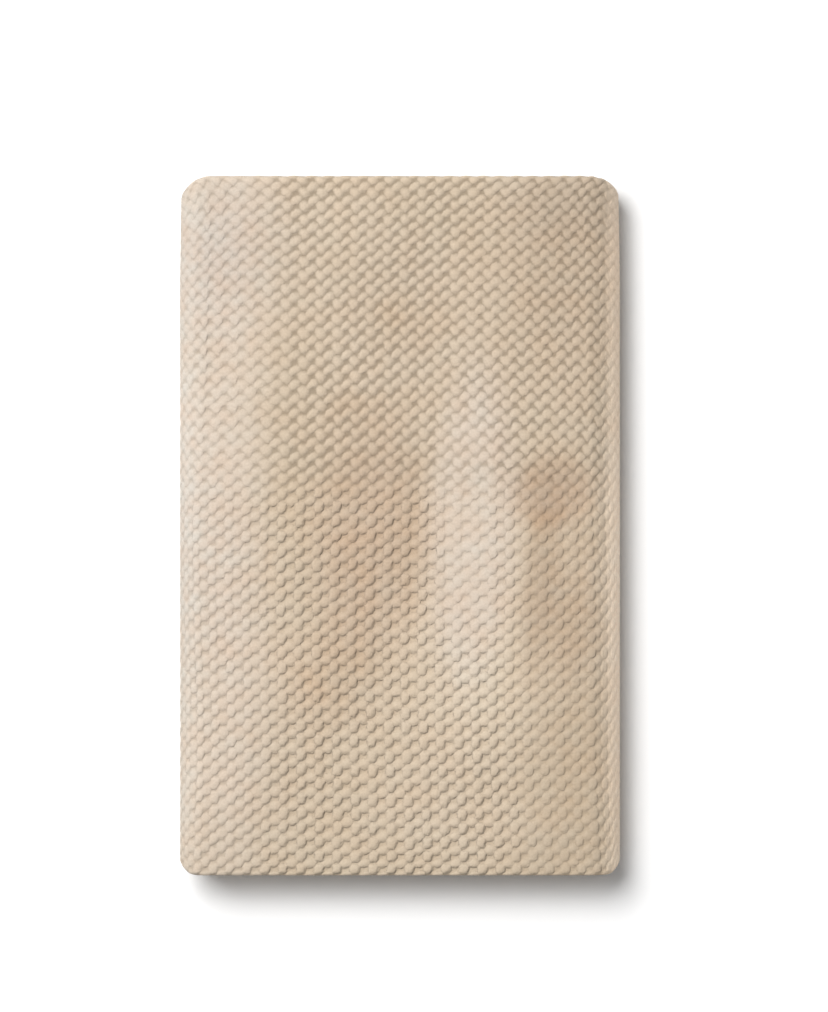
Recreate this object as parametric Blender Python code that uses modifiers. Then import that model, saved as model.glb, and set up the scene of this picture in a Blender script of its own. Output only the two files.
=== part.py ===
"""A knitted cotton cot blanket, folded into a flat rectangular stack.

The blanket is one sheet of moss-stitch cloth. It is halved lengthwise, so
that its fold lies at the back (+Y) and its two free ends lie at the front
(-Y), and the halved sheet is then wrapped up in four passes across X:

    inner  the free side edge, tucked into the left turn
    under  the pass below it, after a tight turn on the right
    cover  the top of the stack, after the wide turn on the left
    base   the pass that the stack lies on, after the widest turn, right

Metres, +Z up. The origin is the centre of the face that it rests on.
"""

from collections import namedtuple
from math import cos, exp, log, pi, sin

import bmesh
import bpy

# ---------------------------------------------------------------- sizes
CLOTH = 0.0040  # the knitted cloth, from stitch top to stitch top
LEAF_GAP = 0.0010  # air between the two leaves of the halved sheet
PASS_GAP = 0.0010  # air between one pass and the next
WIDTH = 0.2530  # folded stack along X, over the two turned sides
LENGTH = 0.4005  # folded stack along Y, from the free ends to the fold

LEAF = (CLOTH + LEAF_GAP) / 2  # from the halved sheet's middle to a leaf's
BUNDLE = 2 * CLOTH + LEAF_GAP  # thickness of the halved sheet
PITCH = BUNDLE + PASS_GAP  # from one pass to the next
FOLD_REACH = LEAF + CLOTH / 2  # how far the back fold's outside stands out
STACK = 4 * BUNDLE + 3 * PASS_GAP  # height of the stack before its swells

PASS_STEPS = 15  # mesh divisions of a pass across X, closer near the turns
TURN_STEPS = 8  # mesh divisions of a turn
LEAF_STEPS = 9  # mesh divisions of a leaf along Y, closer near its ends
FOLD_STEPS = 6  # mesh divisions of the back fold

# A turn of the wrap: its radius, to the middle of the halved sheet, and how
# far it draws the back fold and the front ends in, each over its own reach
# along the sheet to both sides of the turn's middle.
Turn = namedtuple("Turn", "name radius back_in back_reach front_in front_reach")
TIGHT = Turn("tight", 0.5 * PITCH, 0.0045, 0.0200, 0.0010, 0.0200)
LEFT = Turn("left", 1.0 * PITCH, 0.0074, 0.0260, 0.0056, 0.0180)
RIGHT = Turn("right", 1.5 * PITCH, 0.0060, 0.0300, 0.0058, 0.0210)
LEFT_X = -WIDTH / 2 + LEFT.radius + BUNDLE / 2
RIGHT_X = WIDTH / 2 - RIGHT.radius - BUNDLE / 2

# A pass of the wrap: its level in pitches above the base, where it starts
# and ends along X, the turn after it, and how far its front ends and its
# back fold lie inside the stack's outline.
Pass = namedtuple("Pass", "name level start end turn front_in back_in")
PASSES = (
    Pass("inner", 2, LEFT_X + 0.0030, RIGHT_X, TIGHT, 0.0034, 0.0018),
    Pass("under", 1, RIGHT_X, LEFT_X, LEFT, 0.0020, 0.0013),
    Pass("cover", 3, LEFT_X, RIGHT_X, RIGHT, 0.0000, 0.0000),
    Pass("base", 0, RIGHT_X, LEFT_X - 0.0020, None, 0.0014, 0.0010),
)
LEAF_IN = 0.0016  # the inner leaf's free end lies this far behind the outer's
SQUEEZED = 0.62  # share of the cloth's thickness left where a turn draws in the fold

# The sheet's two side edges, which draw in at their corners in the same way.
Edge = namedtuple("Edge", "name at_start back_in back_reach front_in front_reach")
EDGES = (
    Edge("tucked", True, 0.0050, 0.0300, 0.0030, 0.0200),
    Edge("under_left", False, 0.0065, 0.0350, 0.0040, 0.0200),
)

# The top's soft creases, at three stations: 120 mm behind the middle, in the
# middle and 120 mm in front of it. Each has its place along X and its height
# above the flat stack there, and its softness, the distance along X over
# which the slopes on its two sides blend.
Crease = namedtuple("Crease", "name soft back_x middle_x front_x back_h middle_h front_h")
CREASES = (
    Crease("left_edge", 0.0040, -0.1190, -0.1190, -0.1190, 0.0000, 0.0000, 0.0000),
    Crease("left_foot", 0.0080, -0.1000, -0.1000, -0.1000, 0.0016, 0.0032, 0.0024),
    Crease("left_ridge", 0.0110, -0.0700, -0.0680, -0.0740, 0.0030, 0.0064, 0.0044),
    Crease("trough", 0.0050, 0.0200, 0.0130, -0.0290, 0.0006, 0.0000, 0.0008),
    Crease("right_ridge", 0.0050, 0.0380, 0.0660, 0.0700, 0.0032, 0.0092, 0.0054),
    Crease("right_foot", 0.0070, 0.0940, 0.0940, 0.0940, 0.0026, 0.0056, 0.0036),
    Crease("right_edge", 0.0040, 0.1200, 0.1200, 0.1200, 0.0000, 0.0000, 0.0000),
)
CREASE_Y = 0.1200
# Along Y the creases rise and fade out over these stretches.
BACK_FADE = (0.1700, 0.0900)
FRONT_FADE = (-0.1700, -0.0900)

COLOUR = (0.62, 0.50, 0.37, 1.0)  # warm oat beige, linear


# ---------------------------------------------------------------- the wrap
Station = namedtuple("Station", "along x z nx nz front_in back_in squeeze")


def smooth(v):
    v = min(1.0, max(0.0, v))
    return v * v * (3 - 2 * v)


def spread(share):
    """Shares of a length, closer together near its two ends."""
    return 0.35 * share + 0.65 * (1 - cos(pi * share)) / 2


def draw(distance, reach):
    """1 at the place that draws the cloth in, fading to 0 at its reach."""
    return ((1 + cos(pi * min(1.0, abs(distance) / reach))) / 2) ** 3


def wrap_stations():
    """Stations along the middle of the halved sheet: place, outward normal, insets."""
    even, pulls = [], []
    along = 0.0
    for index, run in enumerate(PASSES):
        z = BUNDLE / 2 + run.level * PITCH
        facing = 1 if run.end > run.start else -1
        for step in range(PASS_STEPS + 1):
            share = spread(step / PASS_STEPS)
            share = share if facing > 0 else 1 - share
            x = LEFT_X + (RIGHT_X - LEFT_X) * share
            x = run.start if step == 0 else run.end if step == PASS_STEPS else x
            at = along + abs(x - run.start)
            even.append(
                Station(at, x, z, 0.0, float(facing), run.front_in, run.back_in, 0.0)
            )
        along += abs(run.end - run.start)
        if run.turn is None:
            continue
        after = PASSES[index + 1]
        radius = run.turn.radius
        middle = z - facing * radius
        for step in range(1, TURN_STEPS):
            share = step / TURN_STEPS
            blend = smooth(share)
            nx, nz = facing * sin(pi * share), facing * cos(pi * share)
            even.append(
                Station(
                    along + pi * radius * share,
                    run.end + radius * nx,
                    middle + radius * nz,
                    nx,
                    nz,
                    run.front_in + (after.front_in - run.front_in) * blend,
                    run.back_in + (after.back_in - run.back_in) * blend,
                    0.0,
                )
            )
        pulls.append((along + pi * radius / 2, run.turn))
        along += pi * radius
    for edge in EDGES:
        pulls.append((0.0 if edge.at_start else along, edge))
    stations = []
    for station in even:
        front_in, back_in, squeeze = station.front_in, station.back_in, 0.0
        for place_along, pull in pulls:
            distance = station.along - place_along
            front_in += pull.front_in * draw(distance, pull.front_reach)
            back_in += pull.back_in * draw(distance, pull.back_reach)
            squeeze = max(squeeze, smooth(1.5 - abs(distance) / (0.6 * pull.back_reach)))
        stations.append(
            station._replace(front_in=front_in, back_in=back_in, squeeze=squeeze)
        )
    return stations


def across_fold(station):
    """One row of (y, offset along the normal): outer leaf, back fold, inner leaf."""
    fold_y = LENGTH / 2 - FOLD_REACH - station.back_in
    outer_y = -LENGTH / 2 + station.front_in
    inner_y = outer_y + LEAF_IN
    row = []
    for step in range(LEAF_STEPS + 1):
        row.append((outer_y + (fold_y - outer_y) * spread(step / LEAF_STEPS), LEAF))
    for step in range(1, FOLD_STEPS):
        angle = pi * step / FOLD_STEPS
        row.append((fold_y + LEAF * sin(angle), LEAF * cos(angle)))
    for step in range(LEAF_STEPS + 1):
        row.append((fold_y + (inner_y - fold_y) * spread(step / LEAF_STEPS), -LEAF))
    return row


# ---------------------------------------------------------------- unevenness
def crease_x(crease, y):
    """Where a crease runs at this y, on a parabola through its three places."""
    v = min(1.0, max(-1.0, y / CREASE_Y))
    tilt = (crease.back_x - crease.front_x) / 2
    bow = (crease.back_x + crease.front_x) / 2 - crease.middle_x
    return crease.middle_x + tilt * v + bow * v * v


def crease_h(crease, y):
    """A crease's height at this y."""
    end = crease.back_h if y > 0 else crease.front_h
    return crease.middle_h + (end - crease.middle_h) * smooth(abs(y) / CREASE_Y)


def ramp(distance, soft):
    """0 before the crease and the distance after it, blended over its softness."""
    share = distance / soft
    if share > 30:
        return distance
    return soft * log(1 + exp(share))


def swell(x, y):
    """Height of the top above the flat stack: straight slopes between soft creases."""
    fade = smooth((BACK_FADE[0] - y) / (BACK_FADE[0] - BACK_FADE[1]))
    fade *= smooth((y - FRONT_FADE[0]) / (FRONT_FADE[1] - FRONT_FADE[0]))
    places = [crease_x(crease, y) for crease in CREASES]
    heights = [crease_h(crease, y) for crease in CREASES]
    slopes = [0.0]
    for index in range(len(CREASES) - 1):
        rise = heights[index + 1] - heights[index]
        slopes.append(rise / (places[index + 1] - places[index]))
    slopes.append(0.0)
    total = heights[0]
    for index, crease in enumerate(CREASES):
        change = slopes[index + 1] - slopes[index]
        total += change * ramp(x - places[index], crease.soft)
    return max(0.0, total) * fade


def place(x, y, z):
    """A point of the even stack, moved to where the uneven one has it."""
    lift = min(1.0, max(0.0, (z - CLOTH / 2) / (STACK - CLOTH)))
    return x, y, z + lift * swell(x, y)


# ---------------------------------------------------------------- the object
def build():
    for old in list(bpy.data.objects):
        bpy.data.objects.remove(old, do_unlink=True)
    home = bpy.data.collections.new("folded_blanket")
    bpy.context.scene.collection.children.link(home)

    stations = wrap_stations()
    rows = [across_fold(station) for station in stations]

    # The sheet starts as a flat grid, a column for each station of the wrap
    # and a row for each place along the leaves, and is then folded up.
    sheet = bmesh.new()
    bmesh.ops.create_grid(
        sheet, x_segments=len(stations) - 1, y_segments=len(rows[0]) - 1, size=0.5
    )
    fullness = []
    for vertex in sheet.verts:
        column = round((vertex.co.x + 0.5) * (len(stations) - 1))
        row = round((vertex.co.y + 0.5) * (len(rows[0]) - 1))
        station = stations[column]
        y, offset = rows[column][row]
        vertex.co = place(
            station.x + offset * station.nx, y, station.z + offset * station.nz
        )
        nearest = min(abs(row - LEAF_STEPS), abs(row - LEAF_STEPS - FOLD_STEPS))
        in_fold = LEAF_STEPS <= row <= LEAF_STEPS + FOLD_STEPS
        near_fold = 1.0 if in_fold else max(0.0, 1 - nearest / 2)
        fullness.append((vertex, 1 - station.squeeze * near_fold))
    bmesh.ops.recalc_face_normals(sheet, faces=sheet.faces)
    sheet.verts.index_update()
    weights = [(vertex.index, weight) for vertex, weight in fullness]
    mesh = bpy.data.meshes.new("blanket")
    sheet.to_mesh(mesh)
    sheet.free()
    mesh.shade_smooth()

    blanket = bpy.data.objects.new("blanket", mesh)
    home.objects.link(blanket)
    full = blanket.vertex_groups.new(name="full_thickness")
    for index, weight in weights:
        full.add([index], weight, "REPLACE")
    thick = blanket.modifiers.new("cloth_thickness", "SOLIDIFY")
    thick.thickness = CLOTH
    thick.offset = 0.0
    thick.use_even_offset = True
    thick.use_rim = True
    thick.vertex_group = full.name
    thick.thickness_vertex_group = SQUEEZED

    yarn = bpy.data.materials.new("knit_cotton")
    yarn.use_nodes = True
    surface = yarn.node_tree.nodes["Principled BSDF"]
    surface.inputs["Base Color"].default_value = COLOUR
    surface.inputs["Roughness"].default_value = 0.9
    surface.inputs["Metallic"].default_value = 0.0
    mesh.materials.append(yarn)


build()
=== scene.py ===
"""A folded moss-stitch knitted blanket, seen from straight above on a white floor.

One closed sheet of cloth is folded along the same wrap as the solid model, and
its stitches stand up from it: round arches and hearts, offset by one row.
Metres, +Z up.
"""

import math
from collections import namedtuple

import bpy
import numpy as np
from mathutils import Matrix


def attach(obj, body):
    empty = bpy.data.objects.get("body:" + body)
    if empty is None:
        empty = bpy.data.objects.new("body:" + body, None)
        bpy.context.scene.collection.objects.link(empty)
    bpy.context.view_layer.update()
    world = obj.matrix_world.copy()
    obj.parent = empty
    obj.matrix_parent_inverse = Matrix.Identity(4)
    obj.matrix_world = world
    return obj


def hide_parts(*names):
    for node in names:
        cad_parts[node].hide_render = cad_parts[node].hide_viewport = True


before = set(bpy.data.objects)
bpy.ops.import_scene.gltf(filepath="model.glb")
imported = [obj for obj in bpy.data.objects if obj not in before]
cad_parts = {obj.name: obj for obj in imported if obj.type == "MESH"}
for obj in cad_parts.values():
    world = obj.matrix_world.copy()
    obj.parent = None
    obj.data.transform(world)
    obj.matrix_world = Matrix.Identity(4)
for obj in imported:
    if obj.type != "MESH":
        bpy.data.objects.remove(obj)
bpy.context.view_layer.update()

# ------------------------------------------------- the fold, as the solid has it
CLOTH = 0.0040
LEAF_GAP = 0.0010
PASS_GAP = 0.0010
WIDTH = 0.2530
LENGTH = 0.4005
LEAF = (CLOTH + LEAF_GAP) / 2
BUNDLE = 2 * CLOTH + LEAF_GAP
PITCH = BUNDLE + PASS_GAP
FOLD_REACH = LEAF + CLOTH / 2
STACK = 4 * BUNDLE + 3 * PASS_GAP

Turn = namedtuple("Turn", "name radius back_in back_reach front_in front_reach")
TIGHT = Turn("tight", 0.5 * PITCH, 0.0045, 0.0200, 0.0010, 0.0200)
LEFT = Turn("left", 1.0 * PITCH, 0.0074, 0.0260, 0.0056, 0.0180)
RIGHT = Turn("right", 1.5 * PITCH, 0.0060, 0.0300, 0.0058, 0.0210)
LEFT_X = -WIDTH / 2 + LEFT.radius + BUNDLE / 2
RIGHT_X = WIDTH / 2 - RIGHT.radius - BUNDLE / 2
Pass = namedtuple("Pass", "name level start end turn front_in back_in")
PASSES = (
    Pass("inner", 2, LEFT_X + 0.0030, RIGHT_X, TIGHT, 0.0034, 0.0018),
    Pass("under", 1, RIGHT_X, LEFT_X, LEFT, 0.0020, 0.0013),
    Pass("cover", 3, LEFT_X, RIGHT_X, RIGHT, 0.0000, 0.0000),
    Pass("base", 0, RIGHT_X, LEFT_X - 0.0020, None, 0.0014, 0.0010),
)
LEAF_IN = 0.0016
SQUEEZED = 0.62
Edge = namedtuple("Edge", "name at_start back_in back_reach front_in front_reach")
EDGES = (
    Edge("tucked", True, 0.0050, 0.0300, 0.0030, 0.0200),
    Edge("under_left", False, 0.0065, 0.0350, 0.0040, 0.0200),
)
Crease = namedtuple("Crease", "name soft back_x middle_x front_x back_h middle_h front_h")
CREASES = (
    Crease("left_edge", 0.0040, -0.1190, -0.1190, -0.1190, 0.0000, 0.0000, 0.0000),
    Crease("left_foot", 0.0080, -0.1000, -0.1000, -0.1000, 0.0016, 0.0032, 0.0024),
    Crease("left_ridge", 0.0110, -0.0700, -0.0680, -0.0740, 0.0030, 0.0064, 0.0044),
    Crease("trough", 0.0050, 0.0200, 0.0130, -0.0290, 0.0006, 0.0000, 0.0008),
    Crease("right_ridge", 0.0050, 0.0380, 0.0660, 0.0700, 0.0032, 0.0092, 0.0054),
    Crease("right_foot", 0.0070, 0.0940, 0.0940, 0.0940, 0.0026, 0.0056, 0.0036),
    Crease("right_edge", 0.0040, 0.1200, 0.1200, 0.1200, 0.0000, 0.0000, 0.0000),
)
CREASE_Y = 0.1200
BACK_FADE = (0.1700, 0.0900)
FRONT_FADE = (-0.1700, -0.0900)

LEAF_LONG = LENGTH - FOLD_REACH  # a leaf's middle, from its free end to the fold
FOLD_LONG = math.pi * LEAF
SHEET_LONG = 2 * LEAF_LONG + FOLD_LONG - LEAF_IN
FRONT_DRAW = 0.050  # over this length the front ends' draw-in fades out
BACK_DRAW = 0.080

Run = namedtuple("Run", "kind s0 s1 item after")


def runs_of_wrap():
    made, at = [], 0.0
    for index, item in enumerate(PASSES):
        made.append(Run("pass", at, at + abs(item.end - item.start), item, None))
        at = made[-1].s1
        if item.turn is not None:
            long = math.pi * item.turn.radius
            made.append(Run("turn", at, at + long, item, PASSES[index + 1]))
            at += long
    return made


RUNS = runs_of_wrap()
WRAP_LONG = RUNS[-1].s1
RUN = {}
for run in RUNS:
    RUN[run.item.name + ("_turn" if run.kind == "turn" else "")] = run


def smooth(v):
    v = np.clip(v, 0.0, 1.0)
    return v * v * (3 - 2 * v)


def draw(distance, reach):
    return ((1 + np.cos(np.pi * np.minimum(1.0, np.abs(distance) / reach))) / 2) ** 3


def wrap(s):
    """The middle of the halved sheet at s: x, z, its outward normal, insets, squeeze."""
    out = {k: np.zeros_like(s) for k in ("x", "z", "nx", "nz", "fi", "bi", "sq")}
    for run in RUNS:
        m = (s >= run.s0) & (s <= run.s1)
        p = run.item
        facing = 1.0 if p.end > p.start else -1.0
        z = BUNDLE / 2 + p.level * PITCH
        d = s[m] - run.s0
        if run.kind == "pass":
            out["x"][m] = p.start + facing * d
            out["z"][m] = z
            out["nx"][m] = 0.0
            out["nz"][m] = facing
            out["fi"][m] = p.front_in
            out["bi"][m] = p.back_in
        else:
            radius = p.turn.radius
            share = d / (math.pi * radius)
            nx, nz = facing * np.sin(np.pi * share), facing * np.cos(np.pi * share)
            out["x"][m] = p.end + radius * nx
            out["z"][m] = z - facing * radius + radius * nz
            out["nx"][m] = nx
            out["nz"][m] = nz
            blend = smooth(share)
            out["fi"][m] = p.front_in + (run.after.front_in - p.front_in) * blend
            out["bi"][m] = p.back_in + (run.after.back_in - p.back_in) * blend
    pulls = [((r.s0 + r.s1) / 2, r.item.turn) for r in RUNS if r.kind == "turn"]
    pulls += [(0.0 if e.at_start else WRAP_LONG, e) for e in EDGES]
    for at, pull in pulls:
        d = s - at
        out["fi"] += pull.front_in * draw(d, pull.front_reach)
        out["bi"] += pull.back_in * draw(d, pull.back_reach)
        out["sq"] = np.maximum(out["sq"], smooth(1.5 - np.abs(d) / (0.6 * pull.back_reach)))
    return out


def crease_lines(y):
    v = np.clip(y / CREASE_Y, -1.0, 1.0)
    step = smooth(np.abs(y) / CREASE_Y)
    places, heights = [], []
    for c in CREASES:
        tilt, bow = (c.back_x - c.front_x) / 2, (c.back_x + c.front_x) / 2 - c.middle_x
        places.append(c.middle_x + tilt * v + bow * v * v)
        heights.append(c.middle_h + (np.where(y > 0, c.back_h, c.front_h) - c.middle_h) * step)
    return places, heights


def ramp(distance, soft):
    share = np.minimum(distance / soft, 30.0)
    return np.where(distance / soft > 30.0, distance, soft * np.log1p(np.exp(share)))


def swell(x, y):
    fade = smooth((BACK_FADE[0] - y) / (BACK_FADE[0] - BACK_FADE[1]))
    fade = fade * smooth((y - FRONT_FADE[0]) / (FRONT_FADE[1] - FRONT_FADE[0]))
    places, heights = crease_lines(y)
    slopes = [0.0]
    for i in range(len(CREASES) - 1):
        slopes.append((heights[i + 1] - heights[i]) / (places[i + 1] - places[i]))
    slopes.append(0.0)
    total = heights[0]
    for i, c in enumerate(CREASES):
        total = total + (slopes[i + 1] - slopes[i]) * ramp(x - places[i], c.soft)
    return np.maximum(0.0, total) * fade


def leaf_middle(s, t):
    """A point of the middle of the cloth: s along the wrap, t from the outer leaf's
    free end over the back fold to the inner leaf's free end."""
    w = wrap(s)
    fold_y = LENGTH / 2 - FOLD_REACH - w["bi"]
    outer_y = -LENGTH / 2 + w["fi"]

    def along_leaf(d):
        front = np.clip(1 - d / FRONT_DRAW, 0, 1) ** 2
        back = np.clip(1 - (LEAF_LONG - d) / BACK_DRAW, 0, 1) ** 2
        return -LENGTH / 2 + d + w["fi"] * front - w["bi"] * back

    angle = np.clip((t - LEAF_LONG) / LEAF, 0, np.pi)
    back_t = SHEET_LONG - t + LEAF_IN
    y = np.where(t <= LEAF_LONG, along_leaf(t), along_leaf(np.minimum(back_t, LEAF_LONG)))
    in_fold = (t > LEAF_LONG) & (t < LEAF_LONG + FOLD_LONG)
    y = np.where(in_fold, fold_y + LEAF * np.sin(angle), y)
    offset = LEAF * np.cos(angle)
    x = w["x"] + offset * w["nx"]
    z = w["z"] + offset * w["nz"]
    lift = np.clip((z - CLOTH / 2) / (STACK - CLOTH), 0, 1)
    from_fold = np.where(in_fold, 0.0, np.maximum(LEAF_LONG - t, t - LEAF_LONG - FOLD_LONG))
    near = 1 - np.clip(from_fold / 0.055, 0, 1)
    full = 1 - (1 - SQUEEZED) * w["sq"] * near
    return np.stack([x, y, z + lift * swell(x, y)], -1), full


def leaf_frame(s, t):
    """The middle point, the unit normal to the outer side and the local thickness share."""
    e = 0.0004
    p, full = leaf_middle(s, t)
    ds = leaf_middle(np.minimum(s + e, WRAP_LONG), t)[0] - leaf_middle(np.maximum(s - e, 0), t)[0]
    dt = leaf_middle(s, np.minimum(t + e, SHEET_LONG))[0] - leaf_middle(s, np.maximum(t - e, 0))[0]
    n = np.cross(ds, dt)
    n /= np.linalg.norm(n, axis=-1, keepdims=True)
    ds /= np.linalg.norm(ds, axis=-1, keepdims=True)
    dt /= np.linalg.norm(dt, axis=-1, keepdims=True)
    return p, n, ds, dt, full


# The outer side of the cover looks up, so the normal there has to be +Z.
_up = leaf_frame(np.array([RUN["cover"].s0 + 0.1]), np.array([0.2]))[1][0, 2]
SIDE = 1.0 if _up > 0 else -1.0

# ------------------------------------------------------------- the stitches' places
# Width of a column of stitches and height of a row, in metres, at places across
# and along the cover; rows crowd at the free ends and at the fold.
ColumnPitch = namedtuple("ColumnPitch", "x pitch")
COLUMN_PITCHES = (
    ColumnPitch(-0.1260, 0.00430),
    ColumnPitch(-0.1120, 0.00450),
    ColumnPitch(-0.0950, 0.00490),
    ColumnPitch(-0.0600, 0.00510),
    ColumnPitch(-0.0300, 0.00500),
    ColumnPitch(0.0000, 0.00490),
    ColumnPitch(0.0400, 0.00492),
    ColumnPitch(0.0700, 0.00475),
    ColumnPitch(0.0900, 0.00455),
    ColumnPitch(0.1070, 0.00430),
)
TURN_PITCH_TOP = 0.0037  # on the outer face of a turn, where it leaves the cover
TURN_PITCH_LOW = 0.0050
HIDDEN_PITCH = 0.0049
RowPitch = namedtuple("RowPitch", "y pitch")
ROW_PITCHES = (
    RowPitch(-0.2003, 0.00340),
    RowPitch(-0.1900, 0.00385),
    RowPitch(-0.1700, 0.00410),
    RowPitch(-0.1400, 0.00418),
    RowPitch(0.0900, 0.00418),
    RowPitch(0.1260, 0.00410),
    RowPitch(0.1720, 0.00389),
    RowPitch(0.1960, 0.00380),
)
FOLD_ROW = 0.0042  # on the outer face of the back fold


def outer_arc_table():
    """s, and the column count u at it, counted along the outer leaf's outer face."""
    s = np.linspace(0, WRAP_LONG, 8001)
    w = wrap(s)
    pitch = np.full_like(s, HIDDEN_PITCH)
    cover, left, right = RUN["cover"], RUN["under_turn"], RUN["cover_turn"]
    on = (s >= cover.s0) & (s <= cover.s1)
    pitch[on] = np.interp(
        w["x"][on], [c.x for c in COLUMN_PITCHES], [c.pitch for c in COLUMN_PITCHES]
    )
    for turn, toward in ((left, -1), (right, 1)):
        on = (s > turn.s0) & (s < turn.s1)
        share = (s[on] - turn.s0) / (turn.s1 - turn.s0)
        share = share if toward > 0 else 1 - share
        radius = turn.item.turn.radius
        stretch = (radius + LEAF + CLOTH / 2) / radius
        start = COLUMN_PITCHES[-1].pitch if toward > 0 else COLUMN_PITCHES[1].pitch
        on_face = np.interp(share, [0, 0.25, 0.5, 1.0], [start, TURN_PITCH_TOP, TURN_PITCH_TOP, TURN_PITCH_LOW])
        pitch[on] = on_face / stretch
    on = (s > RUN["inner_turn"].s0) & (s < RUN["inner_turn"].s1)
    pitch[on] = HIDDEN_PITCH / 1.9
    u = np.concatenate([[0], np.cumsum((1 / pitch[1:] + 1 / pitch[:-1]) / 2 * np.diff(s))])
    # a hole column lies where the cover's left part shows one
    column_at = float(np.interp(cover.s0 + (-0.0923 - LEFT_X), s, u))
    return s, u - column_at + round(column_at)


def row_table():
    t = np.linspace(0, SHEET_LONG, 8001)
    y = -LENGTH / 2 + t
    pitch = np.interp(y, [r.y for r in ROW_PITCHES], [r.pitch for r in ROW_PITCHES])
    in_fold = (t > LEAF_LONG) & (t < LEAF_LONG + FOLD_LONG)
    pitch[in_fold] = FOLD_ROW * LEAF / (LEAF + CLOTH / 2)
    back = t >= LEAF_LONG + FOLD_LONG
    pitch[back] = np.interp(
        -LENGTH / 2 + SHEET_LONG - t[back], [r.y for r in ROW_PITCHES], [r.pitch for r in ROW_PITCHES]
    )
    r = np.concatenate([[0], np.cumsum((1 / pitch[1:] + 1 / pitch[:-1]) / 2 * np.diff(t))])
    return t, r


ARC_S, ARC_U = outer_arc_table()
ROW_T, ROW_R = row_table()


def u_of(s):
    return np.interp(s, ARC_S, ARC_U)


def s_of(u):
    return np.interp(u, ARC_U, ARC_S)


def r_of(t):
    return np.interp(t, ROW_T, ROW_R)


def t_of(r):
    return np.interp(r, ROW_R, ROW_T)


def lean(s, t):
    """How far columns and rows are drawn out of line on the cover: ds, dt."""
    cover = RUN["cover"]
    x = LEFT_X + (s - cover.s0)
    y = -LENGTH / 2 + t
    on = smooth((s - cover.s0 + 0.030) / 0.030) * smooth((cover.s1 + 0.030 - s) / 0.030)
    xc = np.clip(x, LEFT_X, RIGHT_X)
    # the columns draw together toward the back fold
    fan = 0.00040 * 1000 * 0.020 * np.log1p(np.exp(np.clip((y - 0.060) / 0.020, -30, 30)))
    ds = -xc * fan
    # and lean to the right toward the front, in the front right part
    low = 0.030 * np.log1p(np.exp(np.clip((-0.030 - y) / 0.030, -30, 30)))
    ds = ds + 0.030 * low * smooth((x + 0.060) / 0.140)
    # the rows bow at the two sides
    left = np.clip((-0.062 - x) / 0.050, 0, 1.2) ** 2
    right = np.clip((x - 0.085) / 0.035, 0, 1.2) ** 2
    bow_left = -(0.00045 + 0.00225 * np.tanh((y - 0.020) / 0.040))
    bow_right = -0.00045 * (1 + np.tanh((y - 0.032) / 0.025))
    dt = left * bow_left + right * bow_right
    # a slow wander, as hand-held cloth has
    ds = ds + 0.0009 * np.sin(2 * np.pi * (y / 0.21 + x / 0.37) + 0.8)
    dt = dt + 0.0007 * np.sin(2 * np.pi * (x / 0.16 - y / 0.45) + 2.1)
    ends = smooth(t / 0.020) * smooth((LEAF_LONG - t) / 0.030)
    return ds * on * smooth((LEAF_LONG + 0.004 - t) / 0.020 + 0.2), dt * on * ends


# ------------------------------------------------------------- the stitches' form
RELIEF = 0.0011  # from the stitch tops down to the holes in the mesh, for a tall of 1
FINE_RELIEF = 0.00095  # and what the material adds to that with its sharper form

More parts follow.
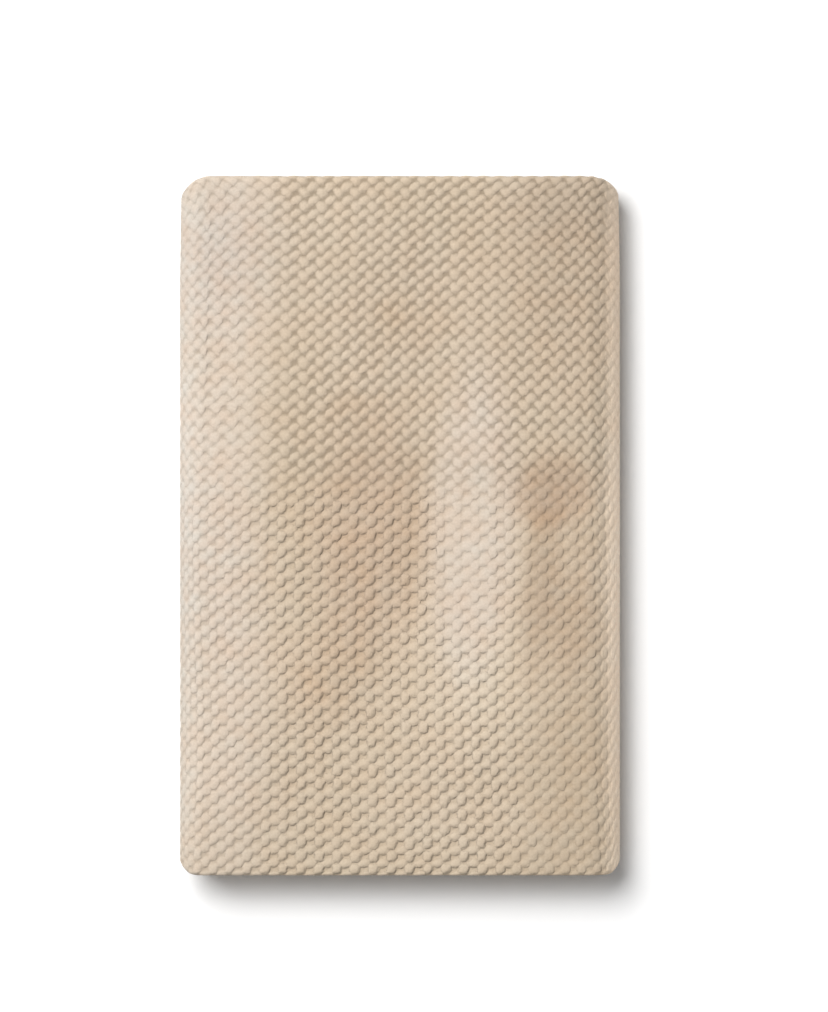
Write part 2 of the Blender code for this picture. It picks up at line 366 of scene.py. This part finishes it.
# Each pair of columns and rows holds an arch and, one column and row on, a heart.
# For both: du and dv move it, lean shears it up to the right, left, right, up and
# down are its reaches in columns and rows, rise is how far its upper side is worn
# down into a slope, taper narrows it to its foot, tall is its height, power is 2
# for an oval outline and more for a squarer one, and steep is 1 for a round dome
# and less for steeper sides. Last, how much of the relief the region has, and how
# much painted shade darkens its holes.
Style = namedtuple(
    "Style",
    "name a_du a_dv a_lean a_left a_right a_up a_down a_rise a_taper a_tall a_power a_steep "
    "h_du h_dv h_lean h_left h_right h_up h_down h_rise h_taper h_tall h_power h_steep "
    "tall dark",
)
STYLES = (
    Style(
        "top_right",
        -0.07, 0.00, 0.28, 0.56, 1.04, 0.83, 0.88, 0.04, 0.00, 1.00, 2.00, 0.64,
        0.07, 0.00, -0.08, 0.69, 1.03, 1.00, 0.95, 0.00, 0.54, 0.93, 2.68, 1.30,
        0.63, 0.39,
    ),
    Style(
        "top_mid",
        -0.01, 0.01, 0.48, 0.56, 1.06, 0.90, 1.08, 0.01, 0.00, 1.00, 2.07, 1.05,
        0.01, -0.01, -0.10, 0.59, 0.99, 1.01, 1.05, 0.00, 0.19, 1.02, 1.95, 0.98,
        0.56, 0.41,
    ),
    Style(
        "left_top",
        -0.02, 0.02, 0.32, 1.02, 1.05, 0.99, 1.04, 0.00, 0.00, 1.00, 2.37, 1.36,
        0.02, -0.02, -0.05, 0.95, 0.81, 1.02, 1.09, 0.00, 0.53, 1.09, 2.51, 1.21,
        0.52, 0.25,
    ),
    Style(
        "low",
        0.10, 0.08, 0.11, 0.80, 0.73, 0.90, 0.78, 0.01, 0.00, 1.00, 1.68, 0.56,
        -0.10, -0.08, 0.11, 0.53, 0.81, 0.96, 1.04, 0.00, 0.12, 1.06, 3.29, 1.08,
        1.00, 0.08,
    ),
    Style(
        "wedge",
        0.05, 0.02, 0.30, 0.68, 0.90, 0.97, 0.91, 0.20, 0.00, 1.00, 2.80, 0.85,
        -0.05, -0.02, 0.01, 0.55, 0.70, 0.95, 0.95, 0.00, 0.20, 0.95, 3.35, 0.90,
        0.58, 0.09,
    ),
    Style(
        "low_right",
        0.03, 0.08, 0.14, 0.88, 0.85, 0.91, 0.84, 0.02, 0.00, 1.00, 1.63, 0.88,
        -0.03, -0.08, 0.12, 0.66, 0.67, 0.92, 0.91, 0.00, 0.11, 0.92, 3.19, 0.89,
        0.64, 0.09,
    ),
    Style(
        "left_low",
        0.04, 0.06, 0.16, 0.70, 0.73, 0.93, 0.88, 0.00, 0.16, 0.93, 2.30, 0.67,
        -0.04, -0.06, 0.24, 0.57, 0.79, 0.96, 1.02, 0.04, 0.08, 1.04, 3.40, 1.12,
        0.68, 0.17,
    ),
)
STYLE_KEYS = Style._fields[1:]


class Wire:
    """A number that the material works out at each point; arithmetic adds nodes."""

    nodes = links = None

    def __init__(self, socket):
        self.socket = socket

    @staticmethod
    def math(kind, *values):
        made = Wire.nodes.new("ShaderNodeMath")
        made.operation = kind
        for socket, value in zip(made.inputs, values):
            if isinstance(value, Wire):
                Wire.links.new(value.socket, socket)
            else:
                socket.default_value = value
        return Wire(made.outputs[0])

    def __add__(self, other):
        return Wire.math("ADD", self, other)

    def __mul__(self, other):
        return Wire.math("MULTIPLY", self, other)

    def __sub__(self, other):
        return Wire.math("SUBTRACT", self, other)

    def __rsub__(self, other):
        return Wire.math("SUBTRACT", other, self)

    def __truediv__(self, other):
        return Wire.math("DIVIDE", self, other)

    __radd__ = __add__
    __rmul__ = __mul__


def either(kind, plain, *values):
    """One step of the form, by numpy for the mesh or by a node for the material."""
    if any(isinstance(value, Wire) for value in values):
        return Wire.math(kind, *values)
    return plain(*values)


def sine(a):
    return either("SINE", np.sin, a)


def size_of(a):
    return either("ABSOLUTE", np.abs, a)


def power(a, b):
    return either("POWER", np.power, a, b)


def larger(a, b):
    return either("MAXIMUM", np.maximum, a, b)


def smaller(a, b):
    return either("MINIMUM", np.minimum, a, b)


def wrapped(a):
    """The distance from the nearest even number, -1 to 1."""
    return either("WRAP", lambda v, high, low: (v - low) % (high - low) + low, a, 1.0, -1.0)


def past(a):
    return either("GREATER_THAN", lambda v, w: (v > w) * 1.0, a, 0.0)


def eased(a):
    a = smaller(larger(a, 0.0), 1.0)
    return a * a * (3.0 - 2.0 * a)


def blended(x, y):
    """The style at a place on the cover, as a dict of arrays."""
    low = smooth((0.036 - y) / 0.026)
    left = smooth((-0.055 - x) / 0.040)
    right = smooth((x - 0.015) / 0.055)
    low_right = smooth((x - 0.045) / 0.035)
    across = smooth(1.7 - np.abs(x - 0.038) / 0.013)
    wedge = across * smooth((y + 0.085) / 0.050)
    shares = {
        "top_right": (1 - low) * right,
        "top_mid": (1 - low) * (1 - right) * (1 - left),
        "left_top": (1 - low) * (1 - right) * left,
        "low_right": low * low_right * (1 - wedge),
        "low": low * (1 - low_right) * (1 - left) * (1 - wedge),
        "left_low": low * (1 - low_right) * left * (1 - wedge),
        "wedge": low * wedge,
    }
    out = {}
    for key in STYLE_KEYS:
        out[key] = sum(shares[style.name] * getattr(style, key) for style in STYLES)
    # the wedge is drawn tight behind the middle too
    calm = 1 - 0.30 * across * smooth((0.085 - y) / 0.040) * (1 - low)
    out["tall"], out["dark"] = out["tall"] * calm, out["dark"] * calm
    return out


def stitch_form(u, v, style):
    """0 in the holes to 1 at the stitch tops. u counts columns to the right and v
    rows to the front."""
    forms = []
    for parity, kind in ((0, "a_"), (1, "h_")):
        along = v - (style[kind + "dv"] + parity)
        dv = wrapped(along)
        beside = u + style[kind + "lean"] * dv - (style[kind + "du"] + parity)
        du = wrapped(beside)
        cu, cv = beside - du, along - dv
        # a fixed unevenness of place, size and height for each stitch
        swirl = 1.94 * cu + 1.30 * cv + 2.1 * sine(0.885 * cu - 1.45 * cv + parity * 1.0)
        size = 1.0 + 0.06 * sine(swirl + 1.0)
        du = (du + 0.050 * sine(swirl + 2.3)) / size
        dv = (dv + 0.050 * sine(swirl + 3.9)) / size
        wide = style[kind + "left"] + (style[kind + "right"] - style[kind + "left"]) * past(du)
        wide = larger(wide * (1.0 - style[kind + "taper"] * dv), 0.12)
        long = style[kind + "up"] + (style[kind + "down"] - style[kind + "up"]) * past(dv)
        share = power(size_of(du) / wide, style[kind + "power"])
        share = share + power(size_of(dv) / long, style[kind + "power"])
        form = power(larger(1.0 - share, 0.000001), style[kind + "steep"])
        form = form * (0.35 + 0.65 * form * (3.0 - 2.0 * form))
        form = form * (1.0 - style[kind + "rise"] * eased((0.15 - dv) / 1.25))
        forms.append(form * style[kind + "tall"] * (0.95 + 0.05 * sine(swirl + 5.1)))
    gap = forms[0] - forms[1]
    both = 0.5 * (forms[0] + forms[1] + power(gap * gap + 0.0036, 0.5)) - 0.03
    return smaller(larger(both, 0.0), 1.0)


# Painted light and shade over the top, with warm and rosy tints, each an oval round a
# middle: its reaches across and along, its lean, how quickly its edge fades (1 is soft),
# how much painted light (lighter) or painted shade (darker) it puts on the cloth there, how warm, and how rosy.
Drift = namedtuple("Drift", "name x y across along lean crisp shade warm rosy")
PAINTED_LIGHT = (
    Drift("left_front", -0.1100, -0.1150, 0.0220, 0.0750, 0.00, 1.4, 0.03, 0.4, -0.2),
    Drift("left_side", -0.1265, -0.0200, 0.0120, 0.2200, 0.00, 1.0, 0.00, -2.3, 0.9),
    Drift("left_field", -0.1020, -0.0400, 0.0300, 0.2000, 0.00, 1.0, 0.05, -1.8, 1.4),
    Drift("left_back", -0.1050, 0.1600, 0.0400, 0.0500, 0.00, 1.0, -0.05, -1.5, 1.1),
    Drift("crest", -0.0680, 0.0200, 0.0180, 0.1300, 0.00, 1.0, -0.05, 0.4, -0.3),
    Drift("trough_back", 0.0000, 0.1250, 0.0420, 0.0500, 0.00, 1.2, -0.06, 0.0, 0.1),
    # painted shade along the trough between the two ridges
    Drift("trough", -0.0180, -0.0080, 0.0340, 0.0620, 0.04, 1.8, -0.10, 1.1, 0.5),
    Drift("trough_edge", 0.0050, 0.0000, 0.0080, 0.0650, 0.00, 2.0, -0.03, 0.3, 0.0),
    Drift("trough_front", -0.0380, -0.0850, 0.0280, 0.0300, 0.10, 1.4, -0.06, 0.8, 0.1),
    Drift("left_blot", -0.0540, -0.0980, 0.0110, 0.0100, 0.00, 1.2, 0.02, 0.2, 0.1),
    Drift("middle_blot", -0.0260, 0.0660, 0.0260, 0.0140, 0.10, 1.2, -0.04, 0.7, 0.0),
    Drift("back_blot", 0.0020, 0.1180, 0.0260, 0.0140, 0.00, 1.4, -0.01, 0.8, -0.1),
    Drift("wedge", 0.0420, 0.0000, 0.0265, 0.0900, 0.04, 2.6, 0.03, -1.4, 1.1),
    Drift("wedge_front", 0.0450, -0.0950, 0.0260, 0.0350, 0.00, 1.4, 0.05, -0.4, -0.1),
    Drift("right_back", 0.0950, 0.1450, 0.0400, 0.0600, 0.00, 1.0, -0.13, 0.8, 0.1),
    Drift("right_corner", 0.0950, 0.1850, 0.0350, 0.0250, 0.00, 1.4, -0.09, -0.2, 0.1),
    Drift("right_middle", 0.0870, 0.0190, 0.0235, 0.0205, 0.00, 2.2, -0.14, 1.6, 0.5),
    Drift("right_border", 0.0800, -0.0330, 0.0110, 0.0500, 0.08, 1.6, -0.16, 1.1, 0.1),
    Drift("right_low", 0.1000, -0.0540, 0.0150, 0.0360, 0.00, 1.6, -0.12, 1.1, 0.1),
    Drift("right_hollow", 0.1060, -0.0080, 0.0100, 0.0120, 0.00, 1.4, -0.05, 0.5, 0.0),
    Drift("right_front", 0.1000, -0.1300, 0.0250, 0.0500, 0.00, 1.2, -0.12, 0.8, -0.3),
    Drift("right_end", 0.0950, -0.1900, 0.0350, 0.0260, 0.00, 1.4, -0.07, 0.3, -0.1),
    # painted light on the outer side of the right turn, which falls away from the lamp
    Drift("right_side", 0.1265, -0.0200, 0.0085, 0.4000, 0.00, 1.6, 0.77, -0.5, 0.6),
    Drift("front_end", 0.0000, -0.2050, 0.2000, 0.0300, 0.00, 1.0, -0.04, 0.0, -0.2),
)


def painted_light_at(points, upward):
    """The painted light and shade, and the warm and rosy tints, that the ovals put on each point where the cloth looks
    up.
    """
    shade, warm, rosy = np.zeros((3, len(points)))
    x, y = points[:, 0], points[:, 1]
    for d in PAINTED_LIGHT:
        dx = (x - d.x) - d.lean * (y - d.y)
        share = np.exp(-(((dx / d.across) ** 2 + ((y - d.y) / d.along) ** 2) ** d.crisp))
        shade, warm, rosy = shade + d.shade * share, warm + d.warm * share, rosy + d.rosy * share
    top = smooth((upward + 0.4) / 0.6)
    return np.stack([1 + shade * top, warm * top, rosy * top], -1)


# ------------------------------------------------------------------ the mesh
class Cloth:
    """Vertices and faces of the sheet, gathered patch by patch."""

    def __init__(self):
        self.points, self.faces, self.counts = [], [], 0
        self.uv, self.sizes, self.light_and_tint = [], [], []

    def add(self, points, uv, sizes, light_and_tint):
        first = self.counts
        self.points.append(points)
        self.uv.append(uv)
        self.sizes.append(sizes)
        self.light_and_tint.append(light_and_tint)
        self.counts += len(points)
        return np.arange(first, self.counts)

    def zip(self, a, pa, b, pb, flip):
        """Fills the strip between two rows of vertices, given their places along it."""
        if len(a) == len(b) and np.allclose(pa, pb):
            for k in range(len(a) - 1):
                face = (a[k], a[k + 1], b[k + 1], b[k])
                self.faces.append(face[::-1] if flip else face)
            return
        i = j = 0
        while i < len(a) - 1 or j < len(b) - 1:
            next_a = pa[i + 1] if i < len(a) - 1 else math.inf
            next_b = pb[j + 1] if j < len(b) - 1 else math.inf
            if abs(next_a - next_b) < 1e-9:
                face = (a[i], a[i + 1], b[j + 1], b[j])
                i, j = i + 1, j + 1
            elif next_a < next_b:
                face = (a[i], a[i + 1], b[j])
                i += 1
            else:
                face = (a[i], b[j + 1], b[j])
                j += 1
            self.faces.append(face[::-1] if flip else face)


EDGE_ROUND = 0.0022  # the cloth's free edges round off over this length


def edge_share(s, t):
    """Share of the cloth's thickness left beside its free edges."""
    d = np.minimum(np.minimum(s, WRAP_LONG - s), np.minimum(t, SHEET_LONG - t))
    d = np.clip(d / EDGE_ROUND, 0, 1)
    return np.sqrt(np.clip(1 - 0.82 * (1 - d) ** 2, 0, 1))


def face_points(s0, t0, outer):
    """Points of the outer or inner face of the cloth, with its stitches standing up,
    and what the material needs to know at each."""
    ds, dt = lean(s0, t0)
    s, t = np.clip(s0 + ds, 0, WRAP_LONG), np.clip(t0 + dt, 0, SHEET_LONG)
    p, n, _, _, full = leaf_frame(s, t)
    u, v = u_of(s0), -r_of(t0)
    half = CLOTH / 2 * full * edge_share(s, t)
    x = LEFT_X + (s0 - RUN["cover"].s0)
    y = -LENGTH / 2 + t0
    style = blended(np.clip(x, -0.12, 0.12), np.clip(y, -0.2, 0.2))
    if outer:
        # a vertex takes the form round it, as it stands for that much of the cloth
        form = sum(
            stitch_form(u + a, v + b, style) for a, b in ((0, 0), (-0.11, -0.14), (0.11, -0.14), (-0.11, 0.14), (0.11, 0.14))
        ) / 5
        # on the last stretch before the right turn, and a little before the left, the stitches stand lower and their
        # holes get less painted shade
        edge_flattening = smooth((p[:, 0] - 0.1130) / 0.0075) * smooth((p[:, 2] - 0.010) / 0.012)
        edge_flattening = edge_flattening + 0.4 * smooth((-0.1150 - p[:, 0]) / 0.0080) * smooth((p[:, 2] - 0.010) / 0.012)
        style["tall"], style["dark"] = style["tall"] * (1 - 0.60 * edge_flattening), style["dark"] * (1 - 0.72 * edge_flattening)
        deep = RELIEF * style["tall"] * full * np.clip(edge_share(s, t), 0.35, 1)
        height = half - (1 - form) * deep
    else:
        height = -half
    place = p + (SIDE * height)[:, None] * n
    light_and_tint = painted_light_at(place, SIDE * n[:, 2] * (1 if outer else -1))
    sizes = np.stack([style[key] for key in STYLE_KEYS], -1)
    return place, np.stack([u * 0.005, v * 0.0042], -1), sizes, light_and_tint


def column_block(cloth, columns, rows, outer, flip):
    """A block of columns with the same rows: returns the vertex numbers as a grid."""
    s, t = np.meshgrid(columns, rows, indexing="ij")
    ids = cloth.add(*face_points(s.ravel(), t.ravel(), outer)).reshape(len(columns), len(rows))
    a, b = ids[:-1, :-1].ravel(), ids[1:, :-1].ravel()
    c, d = ids[1:, 1:].ravel(), ids[:-1, 1:].ravel()
    quads = np.stack([a, b, c, d] if not flip else [d, c, b, a], -1)
    cloth.faces.extend(map(tuple, quads.tolist()))
    return ids


def patch(cloth, zones, outer, flip):
    """Blocks side by side along the wrap, zipped where their rows differ. Returns its
    first and last columns and its row ends, as (numbers, places) pairs."""
    previous = None
    low_ids, low_at, high_ids, high_at = [], [], [], []
    first = last = None
    for columns, rows in zones:
        ids = column_block(cloth, columns, rows, outer, flip)
        if previous is not None:
            cloth.zip(previous[0], previous[1], ids[0], rows, not flip)
        previous = (ids[-1], rows)
        if first is None:
            first = (ids[0], rows)
        last = previous
        low_ids += ids[:, 0].tolist()
        high_ids += ids[:, -1].tolist()
        low_at += list(columns)
        high_at += list(columns)
    return first, last, (low_ids, low_at), (high_ids, high_at)


def steps(low, high, gap):
    return np.linspace(low, high, max(2, int(round((high - low) / gap)) + 1))


def columns_between(s0, s1, per_stitch):
    """Columns at whole parts of a stitch from s0 to just before s1."""
    first, last = u_of(s0) * per_stitch, u_of(s1) * per_stitch
    return s_of(np.arange(math.ceil(first - 1e-6), math.ceil(last - 1e-6)) / per_stitch)


def rows_between(t0, t1, per_stitch):
    first, last = r_of(t0) * per_stitch, r_of(t1) * per_stitch
    return t_of(np.arange(math.ceil(first - 1e-6), math.ceil(last - 1e-6)) / per_stitch)


def near_end_rows(per_stitch, count):
    """Rows at a free end: the end itself, the edge's rounding, then parts of stitches."""
    r = np.arange(1, int(count * per_stitch) + 1) / per_stitch
    return np.concatenate([[0.0], t_of(r)])


def build_cloth():
    cloth = Cloth()
    cover, left, right = RUN["cover"], RUN["under_turn"], RUN["cover_turn"]
    base, inner, under = RUN["base"], RUN["inner"], RUN["under"]
    fold_mid = LEAF_LONG + FOLD_LONG / 2
    fold_end = LEAF_LONG + FOLD_LONG

    def outer_rows(per_stitch, fold_steps):
        flat = rows_between(0.0, LEAF_LONG - 0.0006, per_stitch)
        flat[0] = 0.0
        return np.concatenate([flat, np.linspace(LEAF_LONG, fold_end, fold_steps + 1)])

    fine = outer_rows(3, 12)
    medium = outer_rows(2, 10)
    plain = outer_rows(1, 8)
    front = near_end_rows(2, 3)
    hidden = np.concatenate([front, steps(t_of(4.0), LEAF_LONG - 0.012, 0.030), [LEAF_LONG - 0.006],
                             np.linspace(LEAF_LONG, fold_end, 7)])

    left_mid = left.s0 + 0.42 * (left.s1 - left.s0)
    right_mid = right.s0 + 0.60 * (right.s1 - right.s0)
    hidden_columns = columns_between(0.0, left.s0 + 0.1 * (left.s1 - left.s0), 2)
    hidden_columns = np.concatenate([[0.0, 0.0008], hidden_columns[hidden_columns > 0.0016]])
    last_columns = columns_between(right.s1, WRAP_LONG - 0.0006, 2)
    last_columns = np.concatenate([last_columns, [WRAP_LONG - 0.0008, WRAP_LONG]])
    zones = [
        (hidden_columns, hidden),
        (columns_between(left.s0 + 0.1 * (left.s1 - left.s0), left_mid, 2), medium),
        (columns_between(left_mid, right_mid, 4), fine),
        (columns_between(right_mid, right.s1, 2), medium),
        (last_columns, plain),
    ]
    a_first, a_last, a_front, a_back = patch(cloth, zones, True, SIDE < 0)

    # the inner leaf's outer face, hidden but for its free end
    turns = [RUN["inner_turn"], left, right]

    def coarse_columns(gap):
        parts, at = [np.array([0.0, 0.0008])], 0.0016
        for turn, count in zip(turns, (8, 9, 10)):
            parts.append(steps(at, turn.s0, gap)[1:-1])
            parts.append(np.linspace(turn.s0, turn.s1, count + 1))
            at = turn.s1
        parts.append(steps(at, WRAP_LONG - 0.0016, gap)[1:])
        parts.append(np.array([WRAP_LONG - 0.0008, WRAP_LONG]))
        return np.concatenate(parts)

    b_columns = coarse_columns(0.0090)
    b_rows = np.concatenate([[fold_end + 0.004], steps(fold_end + 0.012, SHEET_LONG - 0.014, 0.034),
                             [SHEET_LONG - 0.0085, SHEET_LONG - 0.0065, SHEET_LONG - 0.0045, SHEET_LONG - 0.0025, SHEET_LONG - 0.0009, SHEET_LONG]])
    b_first, b_last, b_back, b_front = patch(cloth, [(b_columns, b_rows)], True, SIDE < 0)
    # from the fold to the inner leaf
    cloth.zip(a_back[0], a_back[1], b_back[0], b_back[1], SIDE < 0)

    # the inside face, hidden but for the free ends
    c_columns = coarse_columns(0.0110)
    c_rows = np.concatenate([[0.0, 0.0012, 0.0030, 0.0070], steps(0.020, LEAF_LONG - 0.020, 0.036), [LEAF_LONG - 0.006],
                             np.linspace(LEAF_LONG, fold_end, 5), [fold_end + 0.006],
                             steps(fold_end + 0.020, SHEET_LONG - 0.020, 0.036), [SHEET_LONG - 0.0070, SHEET_LONG - 0.0030, SHEET_LONG - 0.0012, SHEET_LONG]])
    c_first, c_last, c_front, c_end = patch(cloth, [(c_columns, c_rows)], False, SIDE > 0)

    # the rims round the four edges
    cloth.zip(a_front[0], a_front[1], c_front[0], c_front[1], SIDE > 0)
    cloth.zip(b_front[0], b_front[1], c_end[0], c_end[1], SIDE < 0)
    for ab, c, turned in (((a_first, b_first), c_first, SIDE < 0), ((a_last, b_last), c_last, SIDE > 0)):
        ids = np.concatenate([ab[0][0], ab[1][0]])
        places = np.concatenate([ab[0][1], ab[1][1]])
        cloth.zip(ids, places, c[0], c[1], turned)
    return cloth


def make_piece():
    cloth = build_cloth()
    points = np.concatenate(cloth.points)
    uv = np.concatenate(cloth.uv)
    sizes = np.concatenate(cloth.sizes)
    mesh = bpy.data.meshes.new("knitted_blanket")
    mesh.from_pydata(points.tolist(), [], [tuple(int(i) for i in f) for f in cloth.faces])
    mesh.validate()
    mesh.update()
    mesh.shade_smooth()
    for k in range(0, len(STYLE_KEYS), 3):
        three = np.zeros((len(points), 3), np.float32)
        three[:, : len(STYLE_KEYS[k : k + 3])] = sizes[:, k : k + 3]
        held = mesh.attributes.new("style_%d" % (k // 3), "FLOAT_VECTOR", "POINT")
        held.data.foreach_set("vector", three.ravel())
    painted_light_layer = mesh.attributes.new("painted_light_tint", "FLOAT_VECTOR", "POINT")
    painted_light_layer.data.foreach_set("vector", np.concatenate(cloth.light_and_tint).astype(np.float32).ravel())
    layer = mesh.uv_layers.new(name="stitches")
    loops = np.empty(len(mesh.loops), np.int32)
    mesh.loops.foreach_get("vertex_index", loops)
    layer.data.foreach_set("uv", uv[loops].astype(np.float32).ravel())
    piece = bpy.data.objects.new("knitted_blanket", mesh)
    bpy.context.scene.collection.objects.link(piece)
    return piece


# ------------------------------------------------------------------ materials
BASE_DARK = (0.593, 0.484, 0.363)
BASE_LIGHT = (0.622, 0.510, 0.389)


def knit_material():
    mat = bpy.data.materials.new("oat_knit_cotton")
    mat.use_nodes = True
    nodes, links = mat.node_tree.nodes, mat.node_tree.links
    shader = nodes["Principled BSDF"]
    shader.inputs["Roughness"].default_value = 0.92
    shader.inputs["Specular IOR Level"].default_value = 0.18
    shader.inputs["Sheen Weight"].default_value = 0.12
    shader.inputs["Sheen Roughness"].default_value = 0.6
    shader.inputs["Sheen Tint"].default_value = (1.0, 0.95, 0.88, 1.0)

    def node(kind, **values):
        made = nodes.new(kind)
        for key, value in values.items():
            setattr(made, key, value)
        return made

    def ramp_of(source, stops):
        made = node("ShaderNodeValToRGB")
        while len(made.color_ramp.elements) < len(stops):
            made.color_ramp.elements.new(0.5)
        for element, (at, colour) in zip(made.color_ramp.elements, stops):
            element.position, element.color = at, (*colour, 1.0)
        links.new(source, made.inputs[0])
        return made.outputs["Color"]

    def mix(kind, factor, a, b):
        made = node("ShaderNodeMix", data_type="RGBA", blend_type=kind)
        for socket, value in ((made.inputs["Factor"], factor), (made.inputs[6], a), (made.inputs[7], b)):
            if isinstance(value, (int, float)):
                socket.default_value = value
            elif isinstance(value, tuple):
                socket.default_value = (*value, 1.0)
            else:
                links.new(value, socket)
        return made.outputs[2]

    def noise(scale, detail, vector, rough=0.55):
        made = node("ShaderNodeTexNoise")
        made.inputs["Scale"].default_value = scale
        made.inputs["Detail"].default_value = detail
        made.inputs["Roughness"].default_value = rough
        links.new(vector, made.inputs["Vector"])
        return made.outputs["Fac"]

    place = node("ShaderNodeTexCoord").outputs["Object"]
    Wire.nodes, Wire.links = nodes, links
    style = {}
    for k in range(0, len(STYLE_KEYS), 3):
        parts = node("ShaderNodeSeparateXYZ")
        links.new(node("ShaderNodeAttribute", attribute_name="style_%d" % (k // 3)).outputs["Vector"], parts.inputs[0])
        for key, out in zip(STYLE_KEYS[k : k + 3], parts.outputs):
            style[key] = Wire(out)
    where = node("ShaderNodeSeparateXYZ")
    links.new(node("ShaderNodeUVMap", uv_map="stitches").outputs[0], where.inputs[0])
    loose = node("ShaderNodeTexNoise")
    loose.inputs["Scale"].default_value = 380.0
    loose.inputs["Detail"].default_value = 2.0
    links.new(place, loose.inputs["Vector"])
    astray = node("ShaderNodeSeparateXYZ")
    links.new(loose.outputs["Color"], astray.inputs[0])
    u = Wire(where.outputs[0]) / 0.005 + (Wire(astray.outputs[0]) - 0.5) * 0.42
    v = Wire(where.outputs[1]) / 0.0042 + (Wire(astray.outputs[1]) - 0.5) * 0.46
    form = stitch_form(u, v, style)

    # cream cloth with slow drifts of tone, then painted light and shade with warm and rosy tints laid over the top, the
    # warm ones blotted
    base = ramp_of(noise(11.0, 2.0, place), [(0.36, BASE_DARK), (0.62, BASE_LIGHT)])
    speckle = noise(900.0, 2.0, place, 0.7)
    base = mix("MULTIPLY", 0.5, base, ramp_of(speckle, [(0.30, (0.76, 0.74, 0.71)), (0.70, (1.0, 1.0, 1.0))]))
    parts = node("ShaderNodeSeparateXYZ")
    links.new(node("ShaderNodeAttribute", attribute_name="painted_light_tint").outputs["Vector"], parts.inputs[0])
    light, warm, rosy = (Wire(out) for out in parts.outputs)
    blots = Wire(noise(75.0, 3.0, place, 0.6)) * 2.4 - 0.2
    warm = warm * blots + (Wire(noise(60.0, 2.0, place, 0.5)) - 0.5) * 1.6
    painted_light_tint = node("ShaderNodeCombineXYZ")
    for socket, less, pale in zip(painted_light_tint.inputs, (0.0, 0.045, 0.085), (0.0, 0.030, 0.0)):
        links.new((light * (1.0 - warm * less - rosy * pale)).socket, socket)
    base = mix("MULTIPLY", 1.0, base, painted_light_tint.outputs[0])
    # painted shade in the holes between the stitches, a little warm
    hole = power(1.0 - form, 1.5)
    painted_recess_shade = node("ShaderNodeCombineXYZ")
    for socket, warmth in zip(painted_recess_shade.inputs, (0.00, 0.015, 0.04)):
        links.new((1.0 - hole * (style["dark"] + warmth)).socket, socket)
    base = mix("MULTIPLY", 1.0, base, painted_recess_shade.outputs[0])
    links.new(base, shader.inputs["Base Color"])

    # the stitches' sharper form, then the ply of the yarn and its loose fibres
    sharp = node("ShaderNodeBump")
    sharp.inputs["Strength"].default_value = 1.0
    sharp.inputs["Distance"].default_value = FINE_RELIEF
    links.new((form * style["tall"]).socket, sharp.inputs["Height"])
    first = node("ShaderNodeBump")
    first.inputs["Strength"].default_value = 0.6
    first.inputs["Distance"].default_value = 0.0005
    links.new(noise(520.0, 2.0, place, 0.6), first.inputs["Height"])
    links.new(sharp.outputs["Normal"], first.inputs["Normal"])
    second = node("ShaderNodeBump")
    second.inputs["Strength"].default_value = 0.8
    second.inputs["Distance"].default_value = 0.0004
    links.new(noise(1500.0, 3.0, place, 0.7), second.inputs["Height"])
    links.new(first.outputs["Normal"], second.inputs["Normal"])
    links.new(second.outputs["Normal"], shader.inputs["Normal"])
    return mat


def floor_material():
    mat = bpy.data.materials.new("white_floor")
    mat.use_nodes = True
    shader = mat.node_tree.nodes["Principled BSDF"]
    shader.inputs["Base Color"].default_value = (0.95, 0.95, 0.95, 1.0)
    shader.inputs["Roughness"].default_value = 0.95
    shader.inputs["Specular IOR Level"].default_value = 0.0
    return mat


# ------------------------------------------------------------------ the piece
blanket = make_piece()
blanket.data.materials.append(knit_material())
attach(blanket, "root")
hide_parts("blanket")

# ------------------------------------------------------------------ floor, light
bpy.ops.mesh.primitive_plane_add(size=12.0, location=(0, 0, 0))
floor = bpy.context.object
floor.name = "floor"
floor.data.materials.append(floor_material())

LIGHT_FROM = np.array((-0.385, 0.39, 1.0))
LIGHT_FAR = 2.6
LIGHT_SIZE = 1.6
LIGHT_WATTS = 86.0
WORLD = 0.27


def look_at(obj, target):
    from mathutils import Vector

    way = Vector(target) - obj.location
    obj.rotation_euler = way.to_track_quat("-Z", "Y").to_euler()


data = bpy.data.lights.new("softbox", "AREA")
data.shape, data.size, data.energy = "SQUARE", LIGHT_SIZE, LIGHT_WATTS
softbox = bpy.data.objects.new("softbox", data)
softbox.location = tuple(LIGHT_FROM / np.linalg.norm(LIGHT_FROM) * LIGHT_FAR)
bpy.context.scene.collection.objects.link(softbox)
look_at(softbox, (0, 0, 0))

world = bpy.data.worlds.new("studio")
bpy.context.scene.world = world
world.use_nodes = True
world.node_tree.nodes["Background"].inputs["Color"].default_value = (1.0, 1.0, 1.0, 1.0)
world.node_tree.nodes["Background"].inputs["Strength"].default_value = WORLD

# ------------------------------------------------------------------ camera
lens = bpy.data.cameras.new("camera")
lens.sensor_fit = "AUTO"
lens.sensor_width = 36.0
lens.lens = 186.4
lens.clip_end = 20.0
camera = bpy.data.objects.new("camera", lens)
camera.location = (0.0080, 0.0110, 3.0345)
camera.rotation_euler = (0.0, 0.0, 0.0)
bpy.context.scene.collection.objects.link(camera)
bpy.context.scene.camera = camera

bpy.context.scene.view_settings.view_transform = "Standard"
bpy.context.scene.view_settings.look = "None"
bpy.context.scene.view_settings.exposure = 0.0
bpy.context.scene.view_settings.gamma = 1.0
